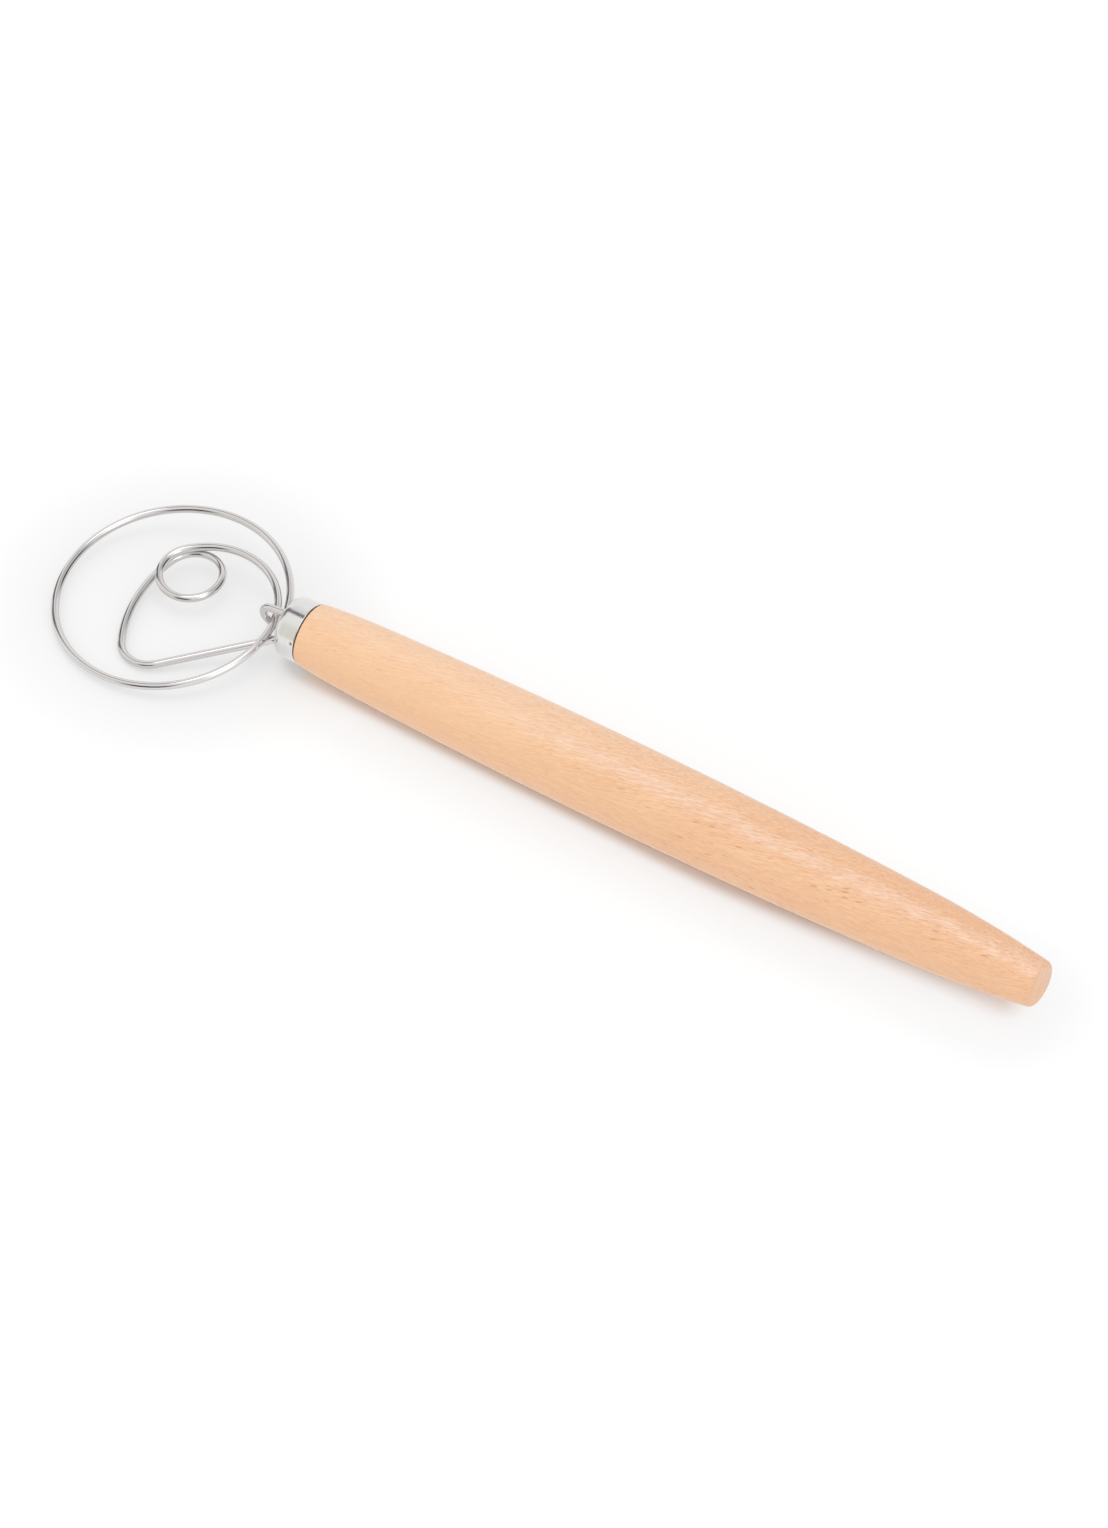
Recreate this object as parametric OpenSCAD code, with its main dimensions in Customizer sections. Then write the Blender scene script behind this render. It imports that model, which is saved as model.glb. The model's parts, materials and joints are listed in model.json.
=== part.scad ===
// Dough whisk: a turned beech handle, a drawn steel ferrule, one long wire
// bent into a big loop, an inner loop and a small ring, and a hook that
// keeps the wires together at the neck. All sizes are in millimetres.
//
// It lies as on a table: +X runs from the head to the butt of the handle and
// +Z is up. The belly of the handle and the near side of the big loop touch
// z = 0. Each piece is drawn on the handle's own axis, with x = 0 at the back
// rim of the ferrule, and module laid_down() puts it in that place.

/* [Handle] */
// Length of the wood behind the ferrule
handle_l = 257; // [210:1:300]
// Diameter of the wood behind the ferrule
neck_d = 20; // [19.8:0.1:23]
// Largest diameter, at the belly
belly_d = 26.4; // [25:0.1:34]
// Distance from the ferrule to the thickest place
belly_x = 113; // [95:1:135]
// Radius of the long curve of the belly
belly_arc_r = 2500; // [2200:50:4000]
// Length over which the neck draws in to the ferrule
neck_run = 22; // [14:1:40]
// Diameter at the butt, before its edge is rounded
butt_d = 14.3; // [11:0.1:17]
// Length over which the butt end tapers faster
tail_run = 44; // [25:1:60]
// Radius of the edge round the flat butt
butt_edge_r = 1.8; // [0.5:0.1:3]
// Round on the wood's edge behind the ferrule
neck_edge_r = 0.5; // [0.2:0.1:0.9]

/* [Ferrule] */
// Outer diameter of the steel cup
ferrule_d = 19.6; // [19:0.1:21]
// Length of the cup
ferrule_l = 8.2; // [7:0.1:14]
// Sheet thickness
ferrule_t = 0.6; // [0.4:0.1:1]
// Radius of the drawn shoulder
shoulder_r = 3; // [1.5:0.1:3.4]
// Round on the rim's outer edge
rim_edge_r = 0.25; // [0.1:0.05:0.35]
// Narrow gap between the rim and the wood behind it
rim_gap = 0.3; // [0.1:0.05:0.5]
// Punch mark that holds the cup on the wood, distance from the rim
mark_x = 0.9; // [0.8:0.1:3]
// Its place round the cup, in degrees from the top towards -Y
mark_at = 64; // [0:1:180]
// Its width
mark_d = 0.8; // [0.4:0.1:1.2]

/* [Wire] */
// Diameter of the wire
wire_d = 2.5; // [2:0.1:2.6]
// Free space where one wire passes over another
pass_gap = 0.15; // [0.1:0.05:0.5]
// Height of the upper wires over the handle's axis, at the ferrule
upper_z = -1.5; // [-1.8:0.1:-1]
// How deep the two tails go into the wood
tail_l = 32; // [20:1:45]
// Hole of the first tail, sideways from the axis
first_y = 3.2; // [3:0.1:4]
// Hole of the last tail, sideways from the axis
last_y = -4.4; // [-4.6:0.1:-4]
// Tight bends in front of the ferrule
entry_r = 3.5; // [3:0.1:4.2]
// Straight wire between the ferrule and a tight bend
entry_run = 0.8; // [0.3:0.1:1.5]
// Angle of the first tight bend, in degrees
entry_angle = 67.8; // [66:0.1:70]
// How far the head leans down from the handle's axis, in degrees
droop = 4; // [2:0.1:6]

/* [Head] */
// Big loop, radius of the part that leaves the ferrule
loop_r = 37.1; // [35:0.1:40]
// Angle of that part, in degrees
loop_angle = 101.7; // [95:0.1:110]
// Place at the neck where the big loop runs into the inner loop, distance
// from the ferrule
neck_ahead = 4.1; // [4:0.1:5]
// The same place, sideways from the axis
neck_y = -8.1; // [-9:0.1:-7]
// Inner loop, radius
inner_r = 25; // [23.5:0.1:26]
// Angle of the inner loop, in degrees
inner_angle = 133.6; // [128:0.1:138]
// Small ring, radius
ring_r = 9.7; // [8.5:0.1:11]
// Angle of the ring in degrees, with the part where it passes under itself
ring_angle = 393.2; // [388:0.1:398]
// Long side that leaves the ring, radius
leg_r = 43.1; // [36:0.1:50]
// Angle of the long side, in degrees
leg_angle = 46.7; // [43:0.1:50]
// Corner before the straight run back to the neck
corner_r = 9.6; // [7:0.1:12]

/* [Neck hook] */
// Free space between the hook and the wire that it holds
hook_gap = 1.25; // [0.9:0.05:1.4]
// How far the hook stands out from the wire that it holds
hook_slack = 0.6; // [0.2:0.1:1]
// Its two holes, sideways from the axis
hook_y = 1.1; // [0.8:0.1:1.4]
// Its upper hole, height over the axis
hook_top_z = 2.8; // [2.4:0.1:3.2]
// How deep the hook's legs go into the wood
hook_leg_l = 18; // [10:1:30]

/* [How it lies] */
// Place where the wood touches the table, close to the balance point
rest_x = 90; // [80:1:105]

/* [Fits] */
// Free space round a wire in its hole in the ferrule, on the diameter
hole_gap = 0.2; // [0.1:0.05:0.5]
// Free space round a wire in the wood, on the diameter
bore_gap = 0.1; // [0.05:0.05:0.3]
// Free space between the cup and the wood inside it
cup_gap = 0.05; // [0.02:0.01:0.15]
// Free depth beyond the end of a wire
bore_end_gap = 0.5; // [0.2:0.1:2]

/* [Hidden] */
$fn = 96;
wire_sides = 12;
// Bend between two rings of the wire, in degrees
bend_angle = 7.5;
// Steps along the handle's curve
handle_steps = 64;

// Route of a bent wire, in a flat plane
// A route is a list of [run, turn]: so many mm along, turning left by so
// many degrees on the way.
function bend(r, a) = [r * abs(a) * PI / 180, a];
function straight(l) = [l, 0];

// Where a piece of route that starts at p with heading h has got to after
// the share u of its run.
function along(p, h, piece, u) =
    piece[1] == 0
        ? p + u * piece[0] * [cos(h), sin(h)]
        : let (r = piece[0] * 180 / PI / piece[1], k = h + u * piece[1])
            p + r * [sin(k) - sin(h), cos(h) - cos(k)];

// Points of a route as [x, y, heading], after its first point.
function walk(pieces, p, h, i = 0) =
    i == len(pieces) ? [] :
    let (piece = pieces[i], n = max(1, ceil(abs(piece[1]) / bend_angle)))
    concat(
        [for (k = [1:n]) let (q = along(p, h, piece, k / n))
            [q.x, q.y, h + piece[1] * k / n]],
        walk(pieces, along(p, h, piece, 1), h + piece[1], i + 1));

// Centre of a left-hand bend of radius r that starts at p with heading h
function left_of(p, h, r) = [p.x, p.y] + r * [-sin(h), cos(h)];

// The whisk wire, seen from above, leaves the wood towards -X. A second arc
// takes the big loop on from its first part to the neck: it has the radius
// and the angle that bring it there.
start = [tail_l, first_y, 180];
first_part = concat([start], walk([
        straight(tail_l + ferrule_l + entry_run),
        bend(entry_r, -entry_angle),
        bend(loop_r, loop_angle)
    ], [start.x, start.y], start[2]));
loop_far = first_part[len(first_part) - 1];
neck = [-ferrule_l - neck_ahead, neck_y];
to_neck = neck - [loop_far.x, loop_far.y];
far_angle = 2 * acos(to_neck * [cos(loop_far[2]), sin(loop_far[2])] / norm(to_neck));
far_r = norm(to_neck) / (2 * sin(far_angle / 2));
inner_start = loop_far[2] + far_angle;
ring_start = inner_start + inner_angle;
loops = concat(first_part, walk([
        bend(far_r, far_angle),
        bend(inner_r, inner_angle),
        bend(ring_r, ring_angle),
        bend(leg_r, leg_angle)
    ], [loop_far.x, loop_far.y], loop_far[2]));

// The corner and the last tight bend are joined by a straight run that
// touches both circles, so the wire always ends in its hole.
leg_end = loops[len(loops) - 1];
corner_c = left_of(leg_end, leg_end[2], corner_r);
last_c = [-ferrule_l - entry_run, last_y - entry_r];
reach = norm(last_c - corner_c);
aim = atan2(last_c.y - corner_c.y, last_c.x - corner_c.x)
    + asin((corner_r + entry_r) / reach);
full_turns = round((leg_end[2] + 110 - aim) / 360);
closing = walk([
        bend(corner_r, aim + 360 * full_turns - leg_end[2]),
        straight(sqrt(pow(reach, 2) - pow(corner_r + entry_r, 2))),
        bend(entry_r, -aim),
        straight(tail_l + ferrule_l + entry_run)
    ], [leg_end.x, leg_end.y], leg_end[2]);

// The wire lies in two levels, one wire and a gap apart. It goes down from
// the upper to the lower one round the ring, between these two places, in
// degrees after the ring's start.
lower_z = upper_z - wire_d - pass_gap;
drop_from = 60;
drop_to = 320;
function ease(u) = let (t = min(max(u, 0), 1)) t * t * (3 - 2 * t);
function level(turn) = upper_z
    + (lower_z - upper_z) * ease((turn - ring_start - drop_from) / (drop_to - drop_from));
function lean(x) = max(0, -ferrule_l - x) * tan(droop);

// The wire in space, and the way to its left at each point
wire = [for (q = loops) [q.x, q.y, level(q[2]) - lean(q.x)],
        for (q = closing) [q.x, q.y, lower_z - lean(q.x)]];
wire_left = [for (q = concat(loops, closing)) [-sin(q[2]), cos(q[2]), 0]];

// Where the inner loop crosses the hook's plane, as [x, z]
inner_c = left_of(neck, inner_start, inner_r);
crossing_x = inner_c.x + sqrt(pow(inner_r, 2) - pow(hook_y - inner_c.y, 2));
crossing = [crossing_x, upper_z - lean(crossing_x)];

// The hook, seen from the side as [x, z]: its upper leg slopes down from the
// ferrule, it turns round the crossing wire, and its lower leg goes back level.
hook_r = wire_d + hook_gap;
hook_in_c = [-ferrule_l - entry_run, hook_top_z - hook_r];
hook_out_c = crossing - [hook_slack, 0];
hook_aim = 360 + atan2(hook_out_c.y - hook_in_c.y, hook_out_c.x - hook_in_c.x);
hook_route = walk([
        straight(hook_leg_l + ferrule_l + entry_run),
        bend(hook_r, hook_aim - 180),
        straight(norm(hook_out_c - hook_in_c)),
        bend(hook_r, 360 - hook_aim),
        straight(hook_leg_l - hook_out_c.x)
    ], [hook_leg_l, hook_top_z], 180);
hook = [[hook_leg_l, hook_y, hook_top_z], for (q = hook_route) [q.x, hook_y, q.y]];

// Places of the wire ends in the ferrule's face, as [y, z]
tails = [[first_y, upper_z], [last_y, lower_z]];
hook_legs = [[hook_y, hook_top_z], [hook_y, hook_out_c.y - hook_r]];

// Radius along the handle: a long flat curve, drawn in at both ends
function belly_curve(x) = belly_d / 2 - pow(x - belly_x, 2) / (2 * belly_arc_r);
neck_drop = belly_curve(0) - neck_d / 2;
tail_drop = belly_curve(handle_l) - butt_d / 2;
function handle_r(x) = belly_curve(x)
    - neck_drop * pow(max(0, 1 - x / neck_run), 2)
    - tail_drop * pow(max(0, (x - handle_l) / tail_run + 1), 2);

// The butt is raised until the wood is level where it touches the table.
// Then the whisk rolls towards -Y until the big loop touches as well.
tilt = atan((belly_x - rest_x) / belly_arc_r);
function rolled(p, a) = [p.x, p.y * cos(a) - p.z * sin(a), p.y * sin(a) + p.z * cos(a)];
function tilted(p) = [p.x * cos(tilt) - p.z * sin(tilt), p.y,
                      p.x * sin(tilt) + p.z * cos(tilt)];
function wire_low(a) = min([for (p = wire) tilted(rolled(p, a)).z]) - wire_d / 2;
floor_z = min([for (k = [0:handle_steps])
    let (x = handle_l * k / handle_steps) tilted([x, 0, -handle_r(x)]).z]);
function touching_roll(lo, hi, n = 30) =
    let (mid = (lo + hi) / 2)
    n == 0 ? mid :
    wire_low(mid) > floor_z ? touching_roll(mid, hi, n - 1)
                            : touching_roll(lo, mid, n - 1);
roll = touching_roll(0, 25);

// Ends and sides of the whole whisk as it lies
lying = [for (p = wire) tilted(rolled(p, roll))];
far_x = min([for (p = lying) p.x]) - wire_d / 2;
butt_x = tilted([handle_l, 0, butt_edge_r - butt_d / 2]).x;
near_y = min([for (p = lying) p.y]) - wire_d / 2;
off_y = max([for (p = lying) p.y]) + wire_d / 2;

module laid_down() {
    translate([-(far_x + butt_x) / 2, -(near_y + off_y) / 2, -floor_z])
        rotate([0, -tilt, 0])
            rotate([roll, 0, 0])
                children();
}

// Turns an outline about the handle's axis. In the outline x is the radius
// and y the distance along the axis.
module turned() {
    rotate([0, 90, 0]) rotate_extrude() children();
}

// A round bar along the axis, from x0 to x1, at a place [y, z].
module bar(d, x0, x1, at) {
    translate([x0, at[0], at[1]]) rotate([0, 90, 0]) cylinder(d = d, h = x1 - x0);
}

// A round wire swept along points, each with a direction square to the way.
module bent_wire(points, left) {
    n = wire_sides;
    last = len(points) - 1;
    function ahead(i) = let (d = points[min(i + 1, last)] - points[max(i - 1, 0)]) d / norm(d);
    function ring(i) = let (up = cross(ahead(i), left[i]))
        [for (k = [0:n - 1]) let (a = 360 * k / n)
            points[i] + wire_d / 2 * (left[i] * cos(a) + up * sin(a))];
    polyhedron(
        points = [for (i = [0:last]) each ring(i)],
        faces = concat(
            [[for (k = [0:n - 1]) k]],
            [for (i = [0:last - 1], k = [0:n - 1]) let (a = i * n + k, b = i * n + (k + 1) % n)
                each [[a, a + n, b + n], [a, b + n, b]]],
            [[for (k = [n - 1:-1:0]) last * n + k]]));
}

// Outline of a turned blank from the axis to radius r, that starts at x0 with
// an edge rounded by e and goes on to x1
module blank(r, e, x0, x1) {
    polygon([[0, x0], [r - e, x0], [r, x0 + e], [r, x1], [0, x1]]);
    translate([r - e, x0 + e]) circle(r = e);
}

// Sizes of the cup's inside and of the wood's spigot in it
cup_in_r = ferrule_d / 2 - ferrule_t;
cup_in_round = shoulder_r - ferrule_t;
spigot_x = -ferrule_l + ferrule_t + cup_gap;

// Outline of the wood: the spigot, and the long curve behind the rim
module handle_outline() {
    blank(cup_in_r - cup_gap, cup_in_round - cup_gap, spigot_x, rim_gap + neck_edge_r);
    neck_c = [handle_r(neck_edge_r) - neck_edge_r, rim_gap + neck_edge_r];
    butt_c = [handle_r(handle_l - butt_edge_r) - butt_edge_r, handle_l - butt_edge_r];
    translate(neck_c) circle(r = neck_edge_r);
    translate(butt_c) circle(r = butt_edge_r);
    polygon(concat(
        [[0, rim_gap], [neck_c.x, rim_gap], neck_c + [neck_edge_r, 0]],
        [for (k = [1:handle_steps - 1]) let (x = handle_l * k / handle_steps)
            if (x > neck_c.y && x < butt_c.y) [handle_r(x), x]],
        [butt_c + [butt_edge_r, 0], [butt_c.x, handle_l], [0, handle_l]]));
}

// Turned beech, with a spigot inside the ferrule and a bore for each wire end
module handle() {
    color("burlywood") difference() {
        turned() handle_outline();
        for (at = tails)
            bar(wire_d + bore_gap, spigot_x - 1, tail_l + bore_end_gap, at);
        for (at = hook_legs)
            bar(wire_d + bore_gap, spigot_x - 1, hook_leg_l + bore_end_gap, at);
    }
}

// Outline of the cup's outside, with the edge of the rim rounded
module cup_outline() {
    r = ferrule_d / 2;
    blank(r, shoulder_r, -ferrule_l, -rim_edge_r);
    polygon([[0, -rim_edge_r], [r, -rim_edge_r], [r - rim_edge_r, 0], [0, 0]]);
    translate([r - rim_edge_r, -rim_edge_r]) circle(r = rim_edge_r);
}

// Drawn steel cup with a round shoulder, a hole for each wire end and a
// punch mark near the rim
module ferrule() {
    color("silver") difference() {
        turned() difference() {
            cup_outline();
            blank(cup_in_r, cup_in_round, ferrule_t - ferrule_l, 1);
        }
        for (at = concat(tails, hook_legs))
            bar(wire_d + hole_gap, -ferrule_l - 1, 0, at);
        rotate([mark_at, 0, 0]) translate([-mark_x, 0, ferrule_d / 2 - ferrule_t / 2])
            cylinder(d1 = mark_d / 2, d2 = mark_d * 1.5, h = ferrule_t);
    }
}

// The long wire, with both tails in the wood
module whisk_wire() {
    color("lightsteelblue") bent_wire(wire, wire_left);
}

// Hook of the same wire, upright round the crossing, with both legs in the wood
module neck_hook() {
    color("slategray") bent_wire(hook, [for (p = hook) [0, -1, 0]]);
}

laid_down() handle();
laid_down() ferrule();
laid_down() whisk_wire();
laid_down() neck_hook();
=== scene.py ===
# %% [markdown]
# # A dough whisk in Blender
# A dough whisk is a long turned beech handle, a small drawn steel ferrule, and one length of
# stainless wire bent into a big loop, an inner loop and a small ring. A short hook of the same
# wire keeps the loops together at the neck. The solids come from the CAD model. This lesson
# gives them the finish of real wood and real steel, and lays them on a white table.

# %% The fixed frame
import json
import math

import bpy
from mathutils import Euler, Matrix, Vector


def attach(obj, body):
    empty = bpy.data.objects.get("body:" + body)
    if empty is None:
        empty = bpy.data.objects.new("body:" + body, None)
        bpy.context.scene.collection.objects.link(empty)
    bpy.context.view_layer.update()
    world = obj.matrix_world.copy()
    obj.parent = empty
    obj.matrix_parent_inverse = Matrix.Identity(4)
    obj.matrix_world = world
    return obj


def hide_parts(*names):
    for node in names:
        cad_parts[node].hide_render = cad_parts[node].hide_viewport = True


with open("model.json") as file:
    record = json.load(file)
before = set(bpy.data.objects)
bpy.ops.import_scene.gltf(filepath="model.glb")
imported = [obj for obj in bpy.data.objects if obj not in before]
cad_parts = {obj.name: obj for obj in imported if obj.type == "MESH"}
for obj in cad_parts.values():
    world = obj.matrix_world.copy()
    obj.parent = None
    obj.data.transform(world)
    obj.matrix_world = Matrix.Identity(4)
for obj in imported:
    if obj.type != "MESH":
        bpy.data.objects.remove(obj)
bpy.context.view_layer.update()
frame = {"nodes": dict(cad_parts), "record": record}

# %% [markdown]
# ## How the whisk lies
# The handle tapers both ways from its belly, so on a table the belly and the big loop touch,
# and the handle's axis is a hair off level. Everything in this file is made in the handle's own
# frame, where x = 0 is the rim of the ferrule and +x runs to the butt. The record says where
# the butt is and which way it faces, and that gives the way from that frame to the table's.

# %% The handle's own frame
MM = 0.001
HANDLE_L = 257 * MM

butt = next(m for m in frame["record"]["mounts"] if m["name"] == "butt_face")
axis = Vector(butt["axis"]).normalized()
rim_centre = Vector(butt["pos_m"]) - HANDLE_L * axis
tilt = math.atan2(axis.z, axis.x)
print("rim of the ferrule at", rim_centre[:], "tilt", round(math.degrees(tilt), 3), "degrees")


def as_it_lies(roll):
    """The matrix from the handle's frame to the table's, with the whisk rolled by that angle."""
    turn = Matrix.Rotation(-tilt, 4, "Y") @ Matrix.Rotation(roll, 4, "X")
    return Matrix.Translation(rim_centre) @ turn


# %% [markdown]
# ## The route of a bent wire
# A wire bender thinks in straight runs and bends, so the route is written that way too: go so
# far along, turn by so much at this radius. Every bend is cut into short steps of a few
# degrees, which keeps the swept wire round from close by. A Bezier curve with a bevel would be
# quicker to draw, but its bends are not true arcs, and here the wire has to lie exactly where
# its solid lies.

# %% Straight runs and bends
STEP = 3  # degrees of bend between two rings of the swept wire


class Route:
    """A flat route. Its points are (x, y, heading), in metres and degrees."""

    def __init__(self, x, y, heading):
        self.points = [(x, y, heading)]

    @property
    def end(self):
        x, y, heading = self.points[-1]
        return Vector((x, y)), heading

    def straight(self, run):
        place, heading = self.end
        turned = math.radians(heading)
        place = place + run * Vector((math.cos(turned), math.sin(turned)))
        self.points.append((place.x, place.y, heading))

    def bend(self, radius, turn):
        """Turn by so many degrees, to the left if the number is above zero."""
        start, heading = self.end
        centre = start + math.copysign(radius, turn) * left_of(heading)
        steps = max(1, math.ceil(abs(turn) / STEP))
        for step in range(1, steps + 1):
            now = heading + turn * step / steps
            place = centre - math.copysign(radius, turn) * left_of(now)
            self.points.append((place.x, place.y, now))


def left_of(heading):
    turned = math.radians(heading)
    return Vector((-math.sin(turned), math.cos(turned)))


# %% [markdown]
# ## The whisk wire
# Seen from above, the wire leaves the wood by its first hole, turns tightly into the big loop,
# runs on into the inner loop and the small ring, and comes back by a long side, a corner and a
# straight run to its last hole. It lies in two levels, one wire apart, and changes level as
# it goes round the ring, the way the real wire has to where it passes under itself. The lengths
# are those of the CAD model.

# %% The wire's flat route
WIRE_D = 2.5 * MM
FERRULE_L = 8.2 * MM
TAIL_L = 32 * MM
FIRST_Y, LAST_Y = 3.2 * MM, -4.4 * MM
ENTRY_R, ENTRY_RUN = 3.5 * MM, 0.8 * MM
NECK = Vector((-FERRULE_L - 4.1 * MM, -8.1 * MM))
LOOP_R, INNER_R, RING_R = 37.1 * MM, 25 * MM, 9.7 * MM
LEG_R, CORNER_R = 43.1 * MM, 9.6 * MM
# How far the bends turn, in degrees
ENTRY_TURN, LOOP_TURN, INNER_TURN, RING_TURN, LEG_TURN = -67.8, 101.7, 133.6, 393.2, 46.7

whisk = Route(TAIL_L, FIRST_Y, 180)
whisk.straight(TAIL_L + FERRULE_L + ENTRY_RUN)
whisk.bend(ENTRY_R, ENTRY_TURN)
whisk.bend(LOOP_R, LOOP_TURN)

# One more arc brings the big loop to the neck. An arc that starts in a known direction and
# ends at a known place has one radius and one angle.
far_place, far_heading = whisk.end
to_neck = NECK - far_place
ahead = -left_of(far_heading + 90)
far_turn = 2 * math.acos(to_neck.dot(ahead) / to_neck.length)
far_radius = to_neck.length / (2 * math.sin(far_turn / 2))
whisk.bend(far_radius, math.degrees(far_turn))
inner_start = whisk.end[1]
whisk.bend(INNER_R, INNER_TURN)
ring_start = whisk.end[1]
whisk.bend(RING_R, RING_TURN)
whisk.bend(LEG_R, LEG_TURN)
upper_count = len(whisk.points)
print("far part of the loop: radius", round(far_radius / MM, 2), "mm, angle",
      round(math.degrees(far_turn), 2))

# %% [markdown]
# The corner and the last tight bend are joined by a straight run that touches both circles.
# With the two centres known, the run's direction follows from the triangle between them.

# %% Back to the last hole
leg_end, leg_heading = whisk.end
corner_centre = leg_end + CORNER_R * left_of(leg_heading)
last_centre = Vector((-FERRULE_L - ENTRY_RUN, LAST_Y - ENTRY_R))
between = last_centre - corner_centre
aim = math.degrees(math.atan2(between.y, between.x)
                   + math.asin((CORNER_R + ENTRY_R) / between.length))
ABOUT_CORNER = 110  # the corner turns by about this much, which settles how many full turns
full_turns = round((leg_heading + ABOUT_CORNER - aim) / 360)
whisk.bend(CORNER_R, aim + 360 * full_turns - leg_heading)
whisk.straight(math.sqrt(between.length ** 2 - (CORNER_R + ENTRY_R) ** 2))
whisk.bend(ENTRY_R, -aim)
whisk.straight(TAIL_L + FERRULE_L + ENTRY_RUN)
print("wire points:", len(whisk.points), "ends at", whisk.end[0][:])

# %% The wire in space
PASS_GAP, UPPER_Z, DROOP = 0.15 * MM, -1.5 * MM, math.radians(4)
LOWER_Z = UPPER_Z - WIRE_D - PASS_GAP
DROP_FROM, DROP_TO = 60, 320  # degrees round the ring between which the wire changes level


def level(heading):
    share = (heading - ring_start - DROP_FROM) / (DROP_TO - DROP_FROM)
    share = min(max(share, 0), 1)
    return UPPER_Z + (LOWER_Z - UPPER_Z) * share * share * (3 - 2 * share)


def lean(x):
    return max(0, -FERRULE_L - x) * math.tan(DROOP)


wire_points, wire_left = [], []
for number, (x, y, heading) in enumerate(whisk.points):
    height = level(heading) if number < upper_count else LOWER_Z
    wire_points.append(Vector((x, y, height - lean(x))))
    wire_left.append(left_of(heading).to_3d())
print("upper level", round(UPPER_Z / MM, 2), "mm, lower level", round(LOWER_Z / MM, 2), "mm")

# %% [markdown]
# ## The neck hook
# The hook is a short bent wire that stands upright. Its upper leg slopes down from the ferrule,
# it goes round the inner loop where that crosses the neck, and its lower leg runs back level.
# Its route is flat too, in the plane of x and z.

# %% The hook in space
HOOK_R = WIRE_D + 1.25 * MM
HOOK_SLACK, HOOK_Y, HOOK_TOP_Z, HOOK_LEG_L = 0.6 * MM, 1.1 * MM, 2.8 * MM, 18 * MM

inner_centre = NECK + INNER_R * left_of(inner_start)
crossing_x = inner_centre.x + math.sqrt(INNER_R ** 2 - (HOOK_Y - inner_centre.y) ** 2)
hook_in = Vector((-FERRULE_L - ENTRY_RUN, HOOK_TOP_Z - HOOK_R))
hook_out = Vector((crossing_x - HOOK_SLACK, UPPER_Z - lean(crossing_x)))
slope = hook_out - hook_in
hook_aim = 360 + math.degrees(math.atan2(slope.y, slope.x))

hook = Route(HOOK_LEG_L, HOOK_TOP_Z, 180)
hook.straight(HOOK_LEG_L + FERRULE_L + ENTRY_RUN)
hook.bend(HOOK_R, hook_aim - 180)
hook.straight(slope.length)
hook.bend(HOOK_R, 360 - hook_aim)
hook.straight(HOOK_LEG_L - hook_out.x)
hook_points = [Vector((x, HOOK_Y, z)) for x, z, heading in hook.points]
hook_left = [Vector((0, -1, 0))] * len(hook_points)
print("hook points:", len(hook_points), "slopes at", round(hook_aim, 2), "degrees")

# %% [markdown]
# ## How far it rolls
# The head is not drawn flat on the table. The whisk rolls about its handle until the wire
# touches, so the roll is found by trying: half the range is dropped each time, thirty times.

# %% The roll that brings the wire down to the table


def lowest(roll):
    lie = as_it_lies(roll)
    return min((lie @ point).z for point in wire_points) - WIRE_D / 2


lo, hi = 0.0, math.radians(25)
for _ in range(30):
    middle = (lo + hi) / 2
    lo, hi = (middle, hi) if lowest(middle) > 0 else (lo, middle)
ROLL = lo
LIE = as_it_lies(ROLL)
print("roll", round(math.degrees(ROLL), 4), "degrees")

# %% [markdown]
# ## Sweeping a round wire
# The CAD model's wire has twelve flat sides, which is fine for a solid but shows in a polished
# finish. Here a ring of many points is carried along the route, and the rings are joined by
# quads with smooth shading. Each point also remembers its place round the wire and along it,
# so that the material can draw fine lines lengthwise, as the drawing die leaves them.

# %% The sweep
SIDES = 32


def sweep(name, points, lefts):
    """A round wire along the points, as a mesh. Each left is square to the way at its point."""
    verts, faces, girth, along = [], [], [], 0.0
    for number, (point, left) in enumerate(zip(points, lefts)):
        before, after = points[max(number - 1, 0)], points[min(number + 1, len(points) - 1)]
        up = (after - before).normalized().cross(left)
        along += (point - before).length
        for side in range(SIDES):
            turn = math.tau * side / SIDES
            out = left * math.cos(turn) + up * math.sin(turn)
            verts.append(LIE @ (point + out * WIRE_D / 2))
            girth.append((math.cos(turn), math.sin(turn), along))
    for number in range(len(points) - 1):
        for side in range(SIDES):
            a, b = number * SIDES + side, number * SIDES + (side + 1) % SIDES
            faces.append((a, a + SIDES, b + SIDES, b))
    last = len(verts) - SIDES
    faces.append(tuple(range(SIDES)))
    faces.append(tuple(range(last + SIDES - 1, last - 1, -1)))

    mesh = bpy.data.meshes.new(name)
    mesh.from_pydata(verts, [], faces)
    mesh.polygons.foreach_set("use_smooth", [True] * (len(faces) - 2) + [False] * 2)
    drawn = mesh.attributes.new("girth", "FLOAT_VECTOR", "POINT")
    drawn.data.foreach_set("vector", [number for place in girth for number in place])
    mesh.update()
    piece = bpy.data.objects.new(name, mesh)
    bpy.context.collection.objects.link(piece)
    print(name, "length", round(along / MM), "mm,", len(faces), "faces")
    return piece


whisk_wire = sweep("bent_whisk_wire", wire_points, wire_left)
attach(whisk_wire, "root")
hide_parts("whisk_wire")

neck_hook = sweep("bent_neck_hook", hook_points, hook_left)
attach(neck_hook, "root")
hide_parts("neck_hook")

# %% [markdown]
# ## Shader maths in Python
# A material is a small program of nodes. Written out node by node it is long and hard to read,
# so one small class wraps a socket and lets Python's own operators add the Math nodes. Every
# other node comes from one method, which takes the node's type, its settings and its inputs.

# %% Sockets that add nodes


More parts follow.
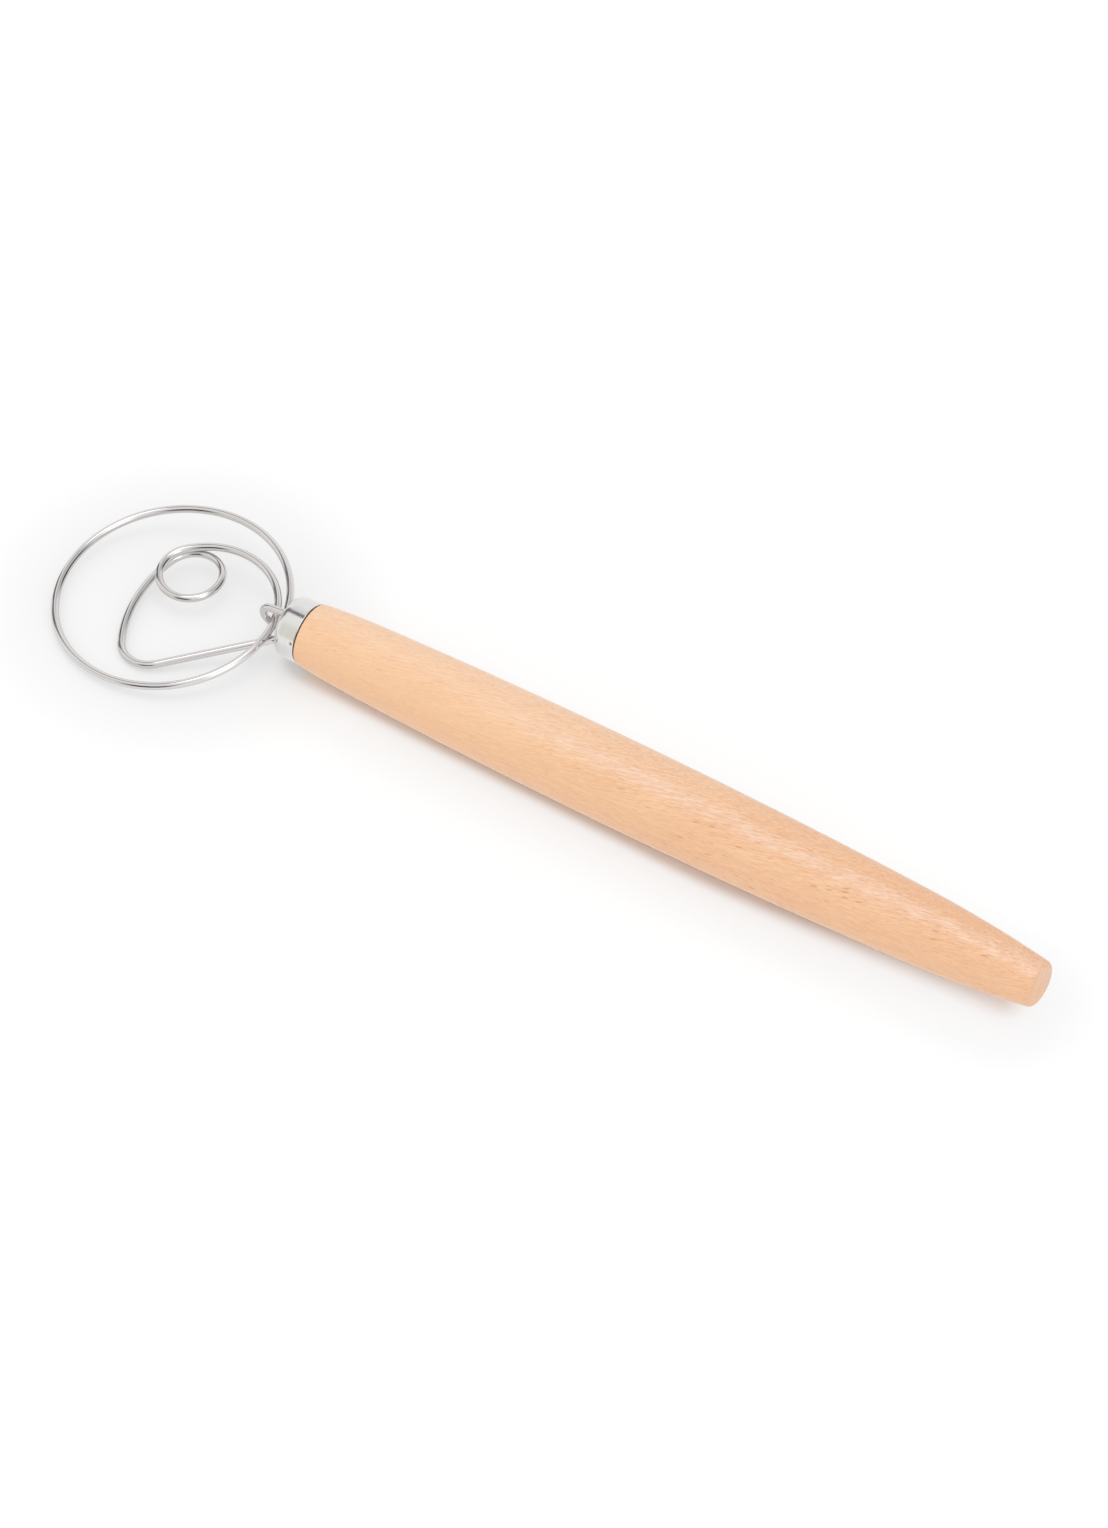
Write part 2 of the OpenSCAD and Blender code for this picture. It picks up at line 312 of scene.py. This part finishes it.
class Value:
    """An output socket. Sums, products and comparisons with it add Math nodes."""

    def __init__(self, graph, socket):
        self.graph, self.socket = graph, socket

    def maths(self, operation, first, second=0.0):
        return self.graph.node("ShaderNodeMath", {"operation": operation}, {
            "Value": first, "Value_001": second})

    def __add__(self, other):
        return self.maths("ADD", self, other)

    def __mul__(self, other):
        return self.maths("MULTIPLY", self, other)

    def __sub__(self, other):
        return self.maths("SUBTRACT", self, other)

    def __rsub__(self, other):
        return self.maths("SUBTRACT", other, self)

    def __gt__(self, other):
        return self.maths("GREATER_THAN", self, other)

    def __abs__(self):
        return self.maths("ABSOLUTE", self)

    __radd__, __rmul__ = __add__, __mul__


# %% [markdown]
# The tree itself gets a class too. Its method node makes any node, and the few methods after
# it are short names for what is used again and again: a value brought from one range to
# another, two colours mixed, vectors worked with, and noise.

# %% A tree of nodes


class Graph:
    """The node tree of a material or of the world."""

    def __init__(self, owner):
        owner.use_nodes = True
        self.tree = owner.node_tree
        self.tree.nodes.clear()

    def node(self, kind, settings=None, inputs=None, out=0):
        """Makes a node, sets it up, fills or links its inputs and gives back one output."""
        made = self.tree.nodes.new(kind)
        for name, setting in (settings or {}).items():
            setattr(made, name, setting)
        for name, given in (inputs or {}).items():
            socket = next(s for s in made.inputs if name in (s.identifier, s.name))
            if isinstance(given, Value):
                self.tree.links.new(given.socket, socket)
            else:
                socket.default_value = given
        ends = [s for number, s in enumerate(made.outputs)
                if out in (number, s.identifier, s.name)]
        return Value(self, ends[0]) if ends else made

    def spread(self, value, low, high, to_low=0.0, to_high=1.0, smooth=True):
        """Maps a value from one range to another, held at both ends."""
        kind = "SMOOTHSTEP" if smooth else "LINEAR"
        return self.node("ShaderNodeMapRange", {"interpolation_type": kind}, {
            "Value": value, "From Min": low, "From Max": high,
            "To Min": to_low, "To Max": to_high})

    def mix(self, share, first, second):
        """Mixes two colours."""
        return self.node("ShaderNodeMix", {"data_type": "RGBA"}, {
            "Factor_Float": share, "A_Color": first, "B_Color": second}, "Result_Color")

    def vectors(self, operation, first, second, out="Vector"):
        return self.node("ShaderNodeVectorMath", {"operation": operation}, {
            "Vector": first, "Vector_001": second}, out)

    def stretched(self, vector, sizes):
        """A vector divided by a size in each direction, for noise with grains of that size."""
        return self.vectors("MULTIPLY", vector, [1 / size for size in sizes])

    def along(self, vector, aim):
        """How far a vector reaches in a direction."""
        return self.vectors("DOT_PRODUCT", vector, aim, "Value")

    def distance(self, vector, place):
        return self.vectors("DISTANCE", vector, place, "Value")

    def x_of(self, vector):
        """The first of a vector's three numbers."""
        return self.node("ShaderNodeSeparateXYZ", None, {"Vector": vector}, "X")

    def noise(self, vector, detail, roughness):
        return self.node("ShaderNodeTexNoise", {"noise_dimensions": "3D"}, {
            "Vector": vector, "Scale": 1.0, "Detail": detail, "Roughness": roughness})


def rgb(red, green, blue):
    """A colour as seen on a screen, 0 to 255, turned into the linear numbers of a shader."""
    linear = [((c / 255 + 0.055) / 1.055) ** 2.4 if c > 10 else c / 255 / 12.92
              for c in (red, green, blue)]
    return (*linear, 1.0)


# %% [markdown]
# ## Beech
# Beech is a pale, warm wood between pink and yellow. Along this handle its grain runs a little
# aslant, so that on the upper side the short dark rays and the fine pores climb towards the
# butt, while low down they run nearly straight. The finish is a thin satin oil: highlights are
# broad and pale. All of this is drawn from the place in the handle's own frame, so it runs
# through the wood and needs no unwrapping. A photograph of wood wrapped round the handle would
# be quicker, but it smears on the taper and stops at the butt, where drawn grain goes on.

# %% Place in the handle's frame


def place_in_handle(graph):
    """The shaded point's place in the handle's frame, in millimetres."""
    here = graph.node("ShaderNodeTexCoord", out="Object")
    moved = graph.vectors("SUBTRACT", here, rim_centre[:])
    return graph.node("ShaderNodeMapping", {"vector_type": "POINT"}, {
        "Vector": moved, "Rotation": (0, tilt, 0), "Scale": (1 / MM,) * 3})


# %% [markdown]
# The grain needs a frame of its own: turned about the handle first, so that its y runs up across
# the side that faces the front, and then aslant, so that its x follows the fibres. Noise in
# that frame, long in x and narrow in y and z, gives marks that follow the fibres.

# %% Along the grain
SIDE_TURN = math.radians(-38)  # brings the grain's y axis up across the front side
SLANT = math.radians(-13)  # from the handle's axis to the fibres on the upper side
LOW_SLANT = math.radians(-3)


def along_grain(graph, place, slant):
    return graph.node("ShaderNodeMapping", {"vector_type": "POINT"}, {
        "Vector": place, "Rotation": (SIDE_TURN, 0, slant)})


# %% [markdown]
# The rays are drawn with Voronoi cells stretched along the grain. Each cell has a random colour
# of its own, and only the few cells whose number is high enough get a mark, so the marks are
# sparse and never in rows.

# %% Marks in the wood
FLECK_LENGTH = 0.33  # from the middle to the end, in cells


def flecks(graph, grain, sizes, share):
    """1 in the middle of a share of the stretched cells, fading to 0 at their ends."""
    place = graph.stretched(grain, sizes)
    settings = {"feature": "F1", "voronoi_dimensions": "3D"}
    inputs = {"Vector": place, "Scale": 1.0, "Randomness": 1.0}
    middle = graph.node("ShaderNodeTexVoronoi", settings, inputs)
    number = graph.node("ShaderNodeTexVoronoi", settings, inputs, "Color")
    lot = graph.x_of(number)
    return graph.spread(middle, FLECK_LENGTH * 0.4, FLECK_LENGTH, 1, 0) * (lot > 1 - share)


# %% [markdown]
# The colour itself changes slowly over a real handle: yellower low down near the ferrule, and
# redder towards the butt. Paler on top near the ferrule is painted sheen, and darker low down is
# painted shade. Along the top of the front side a pale band is painted into the colour as a painted
# highlight, since the light of this scene comes from all round and would leave it out.

# %% The colour of the wood


def wood_tone(graph, x, height, bands, lines, clouds):
    tone = graph.mix(graph.spread(clouds * 0.6 + bands * 0.4, 0.38, 0.62),
                     rgb(238, 193, 154), rgb(241, 199, 161))
    front, top = graph.spread(x, 190, 60), graph.spread(height, -2, 7)
    # Painted sheen: paler on top near the ferrule.
    tone = graph.mix(front * top * 0.7, tone, rgb(246, 210, 177))
    tone = graph.mix(front * (1 - top) * 0.5, tone, rgb(240, 200, 157))
    # Painted shade: darker and redder low down.
    tone = graph.mix(graph.spread(height, 0, -8) * 0.4, tone, rgb(231, 182, 142))
    tone = graph.mix(graph.spread(x, 120, 240) * top * 0.6, tone, rgb(238, 185, 146))
    # Painted highlight: a pale band along the top of the front side, broken by the grain.
    painted_highlight_band = graph.spread(height, 0.0, 3.2) * graph.spread(height, 4.6, 8, 1, 0)
    painted_highlight_band = painted_highlight_band * graph.spread(x, 40, 120) * graph.spread(lines, 0.25, 0.6, 1.0, 0.45)
    return graph.mix(painted_highlight_band * 0.8, tone, rgb(240, 212, 191))


# %% [markdown]
# The material puts it together: the slow colour, then fine lines and pores, which are faint
# near the ferrule and low down, then the rays, and last a painted shade in the slit behind the
# ferrule. The same values press the pores and rays in by a few hundredths of a millimetre.

# %% The beech material


def beech():
    material = bpy.data.materials.new("oiled_beech")
    graph = Graph(material)
    place = place_in_handle(graph)
    x = graph.x_of(place)
    height = graph.along(place, (0, math.cos(SIDE_TURN), -math.sin(SIDE_TURN)))
    upper, lower = along_grain(graph, place, SLANT), along_grain(graph, place, LOW_SLANT)
    high = graph.spread(height, -7, -1)

    def streaks(sizes):
        """Noise along the fibres, aslant on the upper side and nearly straight on the lower."""
        first, second = (graph.noise(graph.stretched(grain, sizes), 2, 0.55)
                         for grain in (lower, upper))
        return first + (second - first) * high

    bands, lines = streaks((60, 2.6, 5.0)), streaks((9, 0.5, 0.9))
    pores = streaks((2.4, 0.26, 0.4))
    clouds = graph.noise(graph.stretched(place, (42, 9, 9)), 2, 0.5)
    tone = wood_tone(graph, x, height, bands, lines, clouds)

    strong = graph.spread(x, 30, 150, 0.55, 0.95) * graph.spread(height, -8, 1, 0.75, 1.0)
    tone = graph.mix(graph.spread(lines, 0.34, 0.66, 0.0, 0.32) * strong, tone, rgb(214, 152, 108))
    tone = graph.mix(graph.spread(pores, 0.42, 0.72, 0.0, 0.42) * strong, tone, rgb(204, 138, 96))

    rays = flecks(graph, upper, (5.0, 0.9, 1.6), 0.3) * high
    rays = rays + flecks(graph, lower, (5.0, 0.8, 1.2), 0.1) * (1 - high)
    rays = rays * graph.spread(height, 0.5, 3.5, 1.0, 0.12) * graph.spread(x, 70, 170, 0.2, 1.0)
    tone = graph.mix(rays * 0.6, tone, rgb(190, 122, 76))
    # Painted shade: the wood darkens into the slit behind the ferrule's rim.
    tone = graph.mix(graph.spread(x, 0.35, 0.8, 0.85, 0.0), tone, rgb(84, 50, 34))

    grain_bump = graph.node("ShaderNodeBump", None, {
        "Strength": 0.5, "Distance": 0.03 * MM, "Height": lines * 0.4 - pores * 0.6 - rays * 0.5})
    surface = graph.node("ShaderNodeBsdfPrincipled", None, {
        "Base Color": tone, "Roughness": graph.spread(pores, 0.3, 0.7, 0.32, 0.42),
        "Specular IOR Level": 0.5, "Normal": grain_bump})
    graph.node("ShaderNodeOutputMaterial", None, {"Surface": surface})
    return material


def finish_with(piece, material):
    """Gives a piece, or a solid of the CAD model, one material."""
    if not piece.material_slots:
        piece.data.materials.append(material)
    for slot in piece.material_slots:
        slot.material = material
    print(piece.name, "is finished with", material.name)


finish_with(frame["nodes"]["handle"], beech())

# %% [markdown]
# ## Steel
# Both steels are stainless. The wire was drawn through a die, which leaves lines so fine
# lengthwise that they only soften its shine, and then tumbled bright. The ferrule was drawn from
# sheet and polished on a wheel, so its faint lines go round it. The small punched mark near its
# rim is painted darker, a painted shade in its hollow. An anisotropic shader could stretch the
# highlights too, but on parts this small fine lines in the bump do it, and they fade evenly with
# distance.

# %% Bright steel


def steel(name, colour, lines, softest, hardest, depth, painted_shade=None):
    """Bright steel, with lines from a value that varies across them."""
    material = bpy.data.materials.new(name)
    graph = Graph(material)
    marks = lines(graph)
    bump = graph.node("ShaderNodeBump", None, {
        "Strength": 0.2, "Distance": depth, "Height": marks})
    tone = graph.mix(graph.spread(marks, 0.3, 0.7), colour, [0.94 * c for c in colour])
    if painted_shade:
        # Painted shade, where one is given, darkens the steel there.
        tone = graph.mix(painted_shade(graph), tone, rgb(104, 92, 84))
    surface = graph.node("ShaderNodeBsdfPrincipled", None, {
        "Base Color": tone,
        "Metallic": 1.0, "Roughness": graph.spread(marks, 0.3, 0.7, hardest, softest),
        "Normal": bump})
    graph.node("ShaderNodeOutputMaterial", None, {"Surface": surface})
    return material


# %% The lines of the wire and the cup
MARK_AT, MARK_X, MARK_R = 64, 0.9, 9.7  # degrees round the ferrule, and millimetres


def along_the_wire(graph):
    girth = graph.node("ShaderNodeAttribute", {"attribute_name": "girth"}, out="Vector")
    return graph.noise(graph.stretched(girth, (0.12, 0.12, 0.02)), 3, 0.6)


def round_the_cup(graph):
    place = place_in_handle(graph)
    return graph.noise(graph.stretched(place, (0.12, 6, 6)), 3, 0.6)


def shade_in_punch_mark(graph):
    """Painted shade in the small punched mark near the rim."""
    turn = math.radians(MARK_AT) + ROLL
    mark = (-MARK_X, -MARK_R * math.sin(turn), MARK_R * math.cos(turn))
    return graph.spread(graph.distance(place_in_handle(graph), mark), 0.3, 0.75, 0.55, 0)


# %% The two steels
wire_steel = steel("drawn_wire_steel", rgb(220, 217, 216), along_the_wire, 0.09, 0.05,
                   0.005 * MM)
cup_steel = steel("polished_cup_steel", rgb(229, 228, 226), round_the_cup, 0.2, 0.12,
                  0.01 * MM, shade_in_punch_mark)
finish_with(whisk_wire, wire_steel)
finish_with(neck_hook, wire_steel)
finish_with(frame["nodes"]["ferrule"], cup_steel)

# %% [markdown]
# ## The white table
# The product is shown on a white table that has no edge in view. Pictures of this kind are
# printed light: the table is pushed up to white, and what is left of the shadows is faint but
# for a dark line where the handle touches. A plain floor does it with two looks. Light meets
# plain white paint. What the camera sees is that paint mixed with a painted level of light, which
# washes the shadows out, all but close under the handle. That level is painted a little lower
# round the head and along the handle, a soft painted shade. In the steel only a painted level is
# seen, with painted shade under the head. A stronger lamp would whiten the table as well, but it
# would bleach the wood with it.

# %% What is seen, and what only lights


def seen_directly(graph):
    """1 for what the camera sees itself, and 1 for what is seen in a shiny or clear surface."""
    rays = [graph.node("ShaderNodeLightPath", out=f"Is {kind} Ray")
            for kind in ("Camera", "Glossy", "Transmission")]
    return rays[0], rays[1] + rays[2]


# %% [markdown]
# How much is washed out depends on two distances, to the head's centre and to the line under
# the handle. The shadow that stays is widest under the belly and narrows towards both ends.
# Object coordinates serve for this, because the table stands where the world's origin is.

# %% Where the table is washed out
HEAD_CENTRE = LIE @ Vector((-46.5 * MM, -3 * MM, 0))
LINE_ENDS = (rim_centre.x, butt["pos_m"][0] - 12 * MM)


def distances(graph, here):
    """How far a place on the table is from the head, from the handle, and along the handle."""
    from_head = graph.distance(here, (HEAD_CENTRE.x, HEAD_CENTRE.y, 0))
    x = graph.x_of(here)
    under = graph.node("ShaderNodeCombineXYZ", None, {
        "X": graph.spread(x, *LINE_ENDS, *LINE_ENDS, smooth=False), "Y": rim_centre.y})
    return from_head, graph.distance(here, under), x - rim_centre.x


def washed(graph, from_head, from_handle, along):
    """The share of the shadow that is washed out."""
    tail = graph.spread(along, 0.135, 0.25)
    dark = graph.spread(along, 0, 0.15, 0.0058, 0.0079, smooth=False) - tail * 0.0105
    wash = graph.spread(from_handle, dark, dark + 0.005 + tail * 0.007, 0.0, 0.7 + tail * 0.13)
    return wash * graph.spread(from_head, 0.04, 0.07, 0.65, 1.0)


# %% The table's paint


def white_table():
    material = bpy.data.materials.new("white_table")
    graph = Graph(material)
    here = graph.node("ShaderNodeTexCoord", out="Object")
    from_head, from_handle, along = distances(graph, here)
    # Painted shade: the level of light is painted lower near the handle and lowest round the head.
    near = graph.mix(graph.spread(from_handle, 0.016, 0.034), (0.965, 0.968, 0.972, 1), (1.03,) * 4)
    level = graph.mix(graph.spread(from_head, 0.04, 0.07), (0.92, 0.918, 0.92, 1), near)
    # Painted shade for the steel: the table it shows is darker under the head.
    in_steel = graph.mix(graph.spread(from_head, 0.032, 0.05), (0.8, 0.8, 0.8, 1), (1.02,) * 4)

    camera, mirrored = seen_directly(graph)
    level = graph.mix(mirrored, level, in_steel)
    seen = camera * washed(graph, from_head, from_handle, along) + mirrored
    surface = graph.node("ShaderNodeBsdfPrincipled", None, {
        "Base Color": graph.mix(seen, (0.9, 0.895, 0.895, 1), (0, 0, 0, 1)),
        "Roughness": 0.9, "Specular IOR Level": 0.0,
        "Emission Color": graph.mix(seen, (0, 0, 0, 1), level), "Emission Strength": 1.0})
    graph.node("ShaderNodeOutputMaterial", None, {"Surface": surface})
    return material


# %% The table


def flat_square(name, half):
    mesh = bpy.data.meshes.new(name)
    mesh.from_pydata([(-half, -half, 0), (half, -half, 0), (half, half, 0), (-half, half, 0)],
                     [], [(0, 1, 2, 3)])
    square = bpy.data.objects.new(name, mesh)
    bpy.context.collection.objects.link(square)
    return square


table = flat_square("table", 1.5)
table.location.z = -0.2 * MM  # a hair below the solids, so that no two faces coincide
finish_with(table, white_table())

# %% [markdown]
# ## Light
# The light is that of a white tent: nearly the same from all round, with a little more from a
# wide soft lamp overhead. Bright steel shows the tent itself, so a few plain things in it
# matter: a strip light on the right, dark openings on both sides of it, two dark strips on the
# left that draw the dark line on the ferrule, a dimmer back and a bright spot above. Boards
# could be hung round the scene for them, as a photographer does. Drawn by direction, in the
# world's colour, they throw no shadows, and only the steel shows them.

# %% The lamp
lamp = bpy.data.lights.new("overhead_softbox", "AREA")
lamp.shape, lamp.size = "SQUARE", 0.7
lamp.energy = 1.5
overhead = bpy.data.objects.new("overhead_softbox", lamp)
overhead.location = (-0.05, 0.05, 1.4)
overhead.visible_glossy = False
bpy.context.collection.objects.link(overhead)
print("lamp", lamp.size, "m wide,", lamp.energy, "W, at", overhead.location[:])

# %% The tent


def direction(azimuth, elevation=0):
    """A direction seen from the whisk. Azimuth 0 is towards -Y, and 90 towards +X."""
    turn, rise = math.radians(azimuth), math.radians(elevation)
    return (math.sin(turn) * math.cos(rise), -math.cos(turn) * math.cos(rise), math.sin(rise))


def white_tent():
    world = bpy.data.worlds.new("white_tent")
    bpy.context.scene.world = world
    graph = Graph(world)
    way = graph.node("ShaderNodeTexCoord", out="Generated")

    def towards(aim):
        return graph.along(way, aim)

    def patch(azimuth, elevation, inner, outer):
        """1 within the inner angle from a direction, fading to 0 at the outer angle."""
        return graph.spread(towards(direction(azimuth, elevation)),
                            math.cos(math.radians(outer)), math.cos(math.radians(inner)))

    def upright(azimuth, inner, outer, top, above):
        """1 in an upright band at an azimuth, fading to 0 at its sides and its top."""
        aside = abs(towards(direction(azimuth + 90)))
        sides = [math.sin(math.radians(angle)) for angle in (inner, outer)]
        tops = [math.sin(math.radians(angle)) for angle in (top, above)]
        within = graph.spread(aside, *sides, 1, 0) * graph.spread(towards((0, 0, 1)), *tops, 1, 0)
        return within * graph.spread(towards(direction(azimuth)), 0.05, 0.2)

    walls = graph.mix(patch(-25, 17, 9, 42), (1, 1, 1, 1), (0.86, 0.855, 0.79, 1))
    things = (
        (patch(170, 70, 12, 36), 0.62),  # the dimmer back
        (upright(70, 6, 18, 60, 76), 1.5),  # the strip light
        (upright(8, 9, 30, 27, 48), 0.08),  # the opening in front
        (upright(128, 12, 34, 30, 52), 0.05),  # the opening on the far right
        (upright(-91, 3, 9, 30, 48), 0.22),  # two dark strips on the left
        (upright(-105, 4, 8, 72, 80), 0.15),
        (patch(-140, 85.5, 9, 17), 2.6),  # the lamp above
    )
    for where, grey in things:
        walls = graph.mix(where, walls, (grey, grey, grey, 1))

    camera, mirrored = seen_directly(graph)
    shown = graph.node("ShaderNodeBackground", None, {
        "Color": graph.mix(camera, walls, (1, 1, 1, 1)), "Strength": 1.0})
    front = graph.spread(towards(direction(10, 50)), 0, 1, 0.82, 1.2, smooth=False)
    light = graph.node("ShaderNodeBackground", None, {"Color": (1, 1, 1, 1), "Strength": front})
    both = graph.node("ShaderNodeMixShader", None, {
        "Fac": camera + mirrored, "Shader": light, "Shader_001": shown})
    graph.node("ShaderNodeOutputWorld", None, {"Surface": both})
    print("tent drawn with", len(graph.tree.nodes), "nodes and", len(things), "things in it")


white_tent()

# %% [markdown]
# ## The camera
# The camera looks down at the whisk from the front right, from well over two metres away, with a
# long lens. Its place was found by fitting the solids to measured lines of the picture. The
# numbers are kept as a photographer would say them: where it stands, how it is rolled, and
# where the rim of the ferrule falls in the picture.

# %% Camera
WIDTH, HEIGHT = 1108, 1528
AZIMUTH, ELEVATION, CAMERA_ROLL = (math.radians(a) for a in (32.8266, 47.3379, 0.6906))
FOCAL_PX, DISTANCE = 7948.33, 2399.7 * MM
RIM_IN_PICTURE = (310.573, 634.073)
SENSOR = 36  # across the picture's longer side

lens = bpy.data.cameras.new("camera")
lens.sensor_width = SENSOR
lens.lens = SENSOR * FOCAL_PX / HEIGHT
lens.clip_end = 20
camera = bpy.data.objects.new("camera", lens)
facing = Euler((math.pi / 2 - ELEVATION, 0, AZIMUTH)).to_matrix() @ Matrix.Rotation(
    CAMERA_ROLL, 3, "Z")
offset = Vector(((RIM_IN_PICTURE[0] - WIDTH / 2) * DISTANCE / FOCAL_PX,
                 -(RIM_IN_PICTURE[1] - HEIGHT / 2) * DISTANCE / FOCAL_PX, -DISTANCE))
camera.matrix_world = Matrix.Translation(rim_centre - facing @ offset) @ facing.to_4x4()
bpy.context.collection.objects.link(camera)
bpy.context.scene.camera = camera
print("camera at", [round(c, 3) for c in camera.matrix_world.translation])

# %% Colours as they are
bpy.context.scene.view_settings.view_transform = "Standard"
